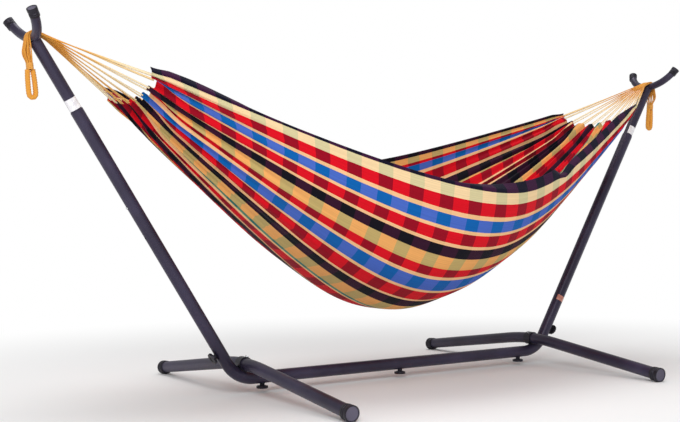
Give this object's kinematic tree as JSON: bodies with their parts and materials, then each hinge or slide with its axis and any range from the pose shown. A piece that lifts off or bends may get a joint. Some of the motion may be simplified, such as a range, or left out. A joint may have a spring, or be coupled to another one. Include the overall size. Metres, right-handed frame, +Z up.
{
  "type": "hammock on stand",
  "caption": "Free-standing hammock: a striped cotton bed hung by fanned cords from the V hooks of a round-tube steel stand with splayed cross feet and hand screws.",
  "frame": {"origin": "centre of the stand's footprint, on the floor", "axes": "+X along the stand from one hook to the other, +Y across it towards the higher rim of the bed, +Z up"},
  "size_m": [2.5442, 1.196, 1.1038],
  "materials": {
    "charcoal_tube": "satin powder coat",
    "black_collar": "satin powder coat",
    "black_plastic": "moulded, slightly textured",
    "zinc_steel": "zinc plated",
    "white_patch": "plain blank film",
    "copper_patch": "plain blank film",
    "striped_cotton": "woven, striped and checked",
    "golden_cord": "twisted cotton"
  },
  "bodies": {
    "stand": {"base_left": "charcoal_tube", "base_right": "charcoal_tube", "beam_left": "charcoal_tube", "beam_right": "charcoal_tube", "foot_bolt_nuts": "zinc_steel", "foot_bolts": "zinc_steel", "foot_caps_left": "black_plastic", "foot_caps_right": "black_plastic", "foot_collar_left": "black_collar", "foot_collar_right": "black_collar", "foot_left": "charcoal_tube", "foot_right": "charcoal_tube", "hook_bundle_left": "golden_cord", "hook_bundle_right": "golden_cord", "hook_caps_left": "black_plastic", "hook_caps_right": "black_plastic", "hook_tube_left": "charcoal_tube", "hook_tube_right": "charcoal_tube", "joint_patches": "white_patch", "leaf_spring_left": "zinc_steel", "leaf_spring_right": "zinc_steel", "spring_rivets": "zinc_steel", "tail_eye_left": "golden_cord", "tail_eye_right": "golden_cord", "tail_hank_left": "golden_cord", "tail_hank_right": "golden_cord", "tail_whipping_left": "golden_cord", "tail_whipping_right": "golden_cord", "thread_inserts": "zinc_steel", "upright_left": "charcoal_tube", "upright_patch": "copper_patch", "upright_right": "charcoal_tube", "v_hook_left": "charcoal_tube", "v_hook_right": "charcoal_tube"},
    "hammock": {"hammock_bed": "striped_cotton", "clew_cords_left": "golden_cord", "clew_cords_right": "golden_cord"},
    "screw_beam_centre": {"screw_beam_centre": "zinc_steel"},
    "knob_beam_centre": {"knob_beam_centre": "black_plastic"},
    "screw_beam_left": {"screw_beam_left": "zinc_steel"},
    "knob_beam_left": {"knob_beam_left": "black_plastic"},
    "screw_beam_right": {"screw_beam_right": "zinc_steel"},
    "knob_beam_right": {"knob_beam_right": "black_plastic"},
    "screw_upright_left": {"screw_upright_left": "zinc_steel"},
    "knob_upright_left": {"knob_upright_left": "black_plastic"},
    "screw_upright_right": {"screw_upright_right": "zinc_steel"},
    "knob_upright_right": {"knob_upright_right": "black_plastic"},
    "button_left": {"snap_button_left": "zinc_steel"},
    "button_right": {"snap_button_right": "zinc_steel"}
  },
  "joints": [
    {"name": "hammock_swing", "type": "hinge", "parent": "stand", "child": "hammock", "pos_m": [0, 0, 1.03855], "axis": [1, 0, 0], "range_deg": [-35, 35]},
    {"name": "screw_travel_beam_centre", "type": "slide", "parent": "stand", "child": "screw_beam_centre", "axis": [0, 0, -1], "range_m": [0, 0.0051]},
    {"name": "knob_turn_beam_centre", "type": "hinge", "parent": "screw_beam_centre", "child": "knob_beam_centre", "pos_m": [0, 0, 0.047], "axis": [0, 0, -1], "range_deg": [0, 1440]},
    {"name": "screw_travel_beam_left", "type": "slide", "parent": "stand", "child": "screw_beam_left", "axis": [0, 0, -1], "range_m": [0, 0.0051]},
    {"name": "knob_turn_beam_left", "type": "hinge", "parent": "screw_beam_left", "child": "knob_beam_left", "pos_m": [-0.5215, 0, 0.047], "axis": [0, 0, -1], "range_deg": [0, 1440]},
    {"name": "screw_travel_beam_right", "type": "slide", "parent": "stand", "child": "screw_beam_right", "axis": [0, 0, -1], "range_m": [0, 0.0051]},
    {"name": "knob_turn_beam_right", "type": "hinge", "parent": "screw_beam_right", "child": "knob_beam_right", "pos_m": [0.5215, 0, 0.047], "axis": [0, 0, -1], "range_deg": [0, 1440]},
    {"name": "screw_travel_upright_left", "type": "slide", "parent": "stand", "child": "screw_upright_left", "axis": [-0.8504, 0, -0.5262], "range_m": [0, 0.0051]},
    {"name": "knob_turn_upright_left", "type": "hinge", "parent": "screw_upright_left", "child": "knob_upright_left", "pos_m": [-0.66336, 0, 0.13161], "axis": [-0.8504, 0, -0.5262], "range_deg": [0, 1440]},
    {"name": "screw_travel_upright_right", "type": "slide", "parent": "stand", "child": "screw_upright_right", "axis": [0.8504, 0, -0.5262], "range_m": [0, 0.0051]},
    {"name": "knob_turn_upright_right", "type": "hinge", "parent": "screw_upright_right", "child": "knob_upright_right", "pos_m": [0.66336, 0, 0.13161], "axis": [0.8504, 0, -0.5262], "range_deg": [0, 1440]},
    {"name": "button_press_left", "type": "slide", "parent": "stand", "child": "button_left", "axis": [0.8504, 0, 0.5262], "range_m": [0, 0.005], "stiffness_N_per_m": 700, "springref_m": -0.002},
    {"name": "button_press_right", "type": "slide", "parent": "stand", "child": "button_right", "axis": [-0.8504, 0, 0.5262], "range_m": [0, 0.005], "stiffness_N_per_m": 700, "springref_m": -0.002}
  ],
  "couplings": [
    {"joint": "screw_travel_beam_centre", "follows": "knob_turn_beam_centre", "m_per_rad": 0.00019894},
    {"joint": "screw_travel_beam_left", "follows": "knob_turn_beam_left", "m_per_rad": 0.00019894},
    {"joint": "screw_travel_beam_right", "follows": "knob_turn_beam_right", "m_per_rad": 0.00019894},
    {"joint": "screw_travel_upright_left", "follows": "knob_turn_upright_left", "m_per_rad": 0.00019894},
    {"joint": "screw_travel_upright_right", "follows": "knob_turn_upright_right", "m_per_rad": 0.00019894}
  ]
}
